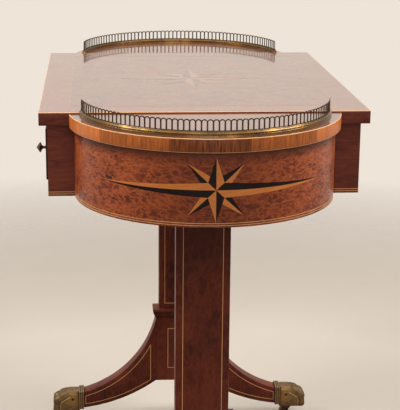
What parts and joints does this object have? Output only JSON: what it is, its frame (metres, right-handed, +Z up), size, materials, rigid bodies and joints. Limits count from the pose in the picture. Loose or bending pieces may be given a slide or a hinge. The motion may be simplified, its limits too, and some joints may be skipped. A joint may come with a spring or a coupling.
{
  "type": "writing table",
  "caption": "Writing table with galleried D-shaped ends, star-inlaid curved friezes, a frieze drawer, and pillar supports on sabre legs with brass paw castors.",
  "frame": {"origin": "on the floor under the middle of the table", "axes": "+X along the table towards its right end, +Y towards the plain back, +Z up; the drawer opens towards -Y"},
  "size_m": [0.964, 0.516, 0.7715],
  "materials": {
    "burr_veneer": "polished burr veneer with crossbanding, boxwood strings and a star inlay",
    "dark_veneer": "polished dark red-brown veneer with boxwood strings",
    "carcass_wood": "plain waxed oak of the drawer lining and the hidden frame",
    "brass": "aged lacquered brass",
    "aged_brass": "cast brass, darkened in the hollows and rubbed on the high places",
    "wheel_brass": "turned brass, worn on the tread",
    "steel": "plain steel"
  },
  "bodies": {
    "table": {"back_rail": "dark_veneer", "centre_top": "burr_veneer", "drawer_guides": "carcass_wood", "drawer_kickers": "carcass_wood", "drawer_lower_rail": "dark_veneer", "drawer_stiles": "dark_veneer", "drawer_stops": "carcass_wood", "drawer_upper_rail": "dark_veneer", "end_battens": "carcass_wood", "foot_pins": "steel", "frieze_blocks": "carcass_wood", "gallery_pins": "brass", "left_back_leg": "dark_veneer", "left_back_paw": "aged_brass", "left_cap": "dark_veneer", "left_column": "dark_veneer", "left_end_frieze": "burr_veneer", "left_end_rail": "dark_veneer", "left_end_top": "burr_veneer", "left_front_leg": "dark_veneer", "left_front_paw": "aged_brass", "left_gallery_arcade": "brass", "left_gallery_rail": "brass", "left_leg_block": "dark_veneer", "left_runner": "carcass_wood", "right_back_leg": "dark_veneer", "right_back_paw": "aged_brass", "right_cap": "dark_veneer", "right_column": "dark_veneer", "right_end_frieze": "burr_veneer", "right_end_rail": "dark_veneer", "right_end_top": "burr_veneer", "right_front_leg": "dark_veneer", "right_front_paw": "aged_brass", "right_gallery_arcade": "brass", "right_gallery_rail": "brass", "right_leg_block": "dark_veneer", "right_runner": "carcass_wood", "top_screws": "steel"},
    "drawer": {"drawer_front": "dark_veneer", "drawer_beads": "dark_veneer", "drawer_right_side": "carcass_wood", "drawer_left_side": "carcass_wood", "drawer_back": "carcass_wood", "drawer_bottom": "carcass_wood", "drawer_knobs": "brass", "knob_plates": "brass", "knob_nuts": "steel"},
    "right_front_castor": {"right_front_castor_fork": "aged_brass", "right_front_castor_axle": "steel"},
    "right_front_wheel": {"right_front_castor_wheel": "wheel_brass"},
    "right_back_castor": {"right_back_castor_fork": "aged_brass", "right_back_castor_axle": "steel"},
    "right_back_wheel": {"right_back_castor_wheel": "wheel_brass"},
    "left_front_castor": {"left_front_castor_fork": "aged_brass", "left_front_castor_axle": "steel"},
    "left_front_wheel": {"left_front_castor_wheel": "wheel_brass"},
    "left_back_castor": {"left_back_castor_fork": "aged_brass", "left_back_castor_axle": "steel"},
    "left_back_wheel": {"left_back_castor_wheel": "wheel_brass"}
  },
  "joints": [
    {"name": "drawer_slide", "type": "slide", "parent": "table", "child": "drawer", "axis": [0, -1, 0], "range_m": [0, 0.3]},
    {"name": "right_front_castor_swivel", "type": "hinge", "parent": "table", "child": "right_front_castor", "pos_m": [0.262, -0.225, 0.026], "axis": [0, 0, 1], "continuous": true},
    {"name": "right_front_wheel_spin", "type": "hinge", "parent": "right_front_castor", "child": "right_front_wheel", "pos_m": [0.262, -0.216, 0.01], "axis": [1, 0, 0], "continuous": true},
    {"name": "right_back_castor_swivel", "type": "hinge", "parent": "table", "child": "right_back_castor", "pos_m": [0.262, 0.225, 0.026], "axis": [0, 0, 1], "continuous": true},
    {"name": "right_back_wheel_spin", "type": "hinge", "parent": "right_back_castor", "child": "right_back_wheel", "pos_m": [0.262, 0.216, 0.01], "axis": [1, 0, 0], "continuous": true},
    {"name": "left_front_castor_swivel", "type": "hinge", "parent": "table", "child": "left_front_castor", "pos_m": [-0.262, -0.225, 0.026], "axis": [0, 0, 1], "continuous": true},
    {"name": "left_front_wheel_spin", "type": "hinge", "parent": "left_front_castor", "child": "left_front_wheel", "pos_m": [-0.262, -0.216, 0.01], "axis": [1, 0, 0], "continuous": true},
    {"name": "left_back_castor_swivel", "type": "hinge", "parent": "table", "child": "left_back_castor", "pos_m": [-0.262, 0.225, 0.026], "axis": [0, 0, 1], "continuous": true},
    {"name": "left_back_wheel_spin", "type": "hinge", "parent": "left_back_castor", "child": "left_back_wheel", "pos_m": [-0.262, 0.216, 0.01], "axis": [1, 0, 0], "continuous": true}
  ]
}
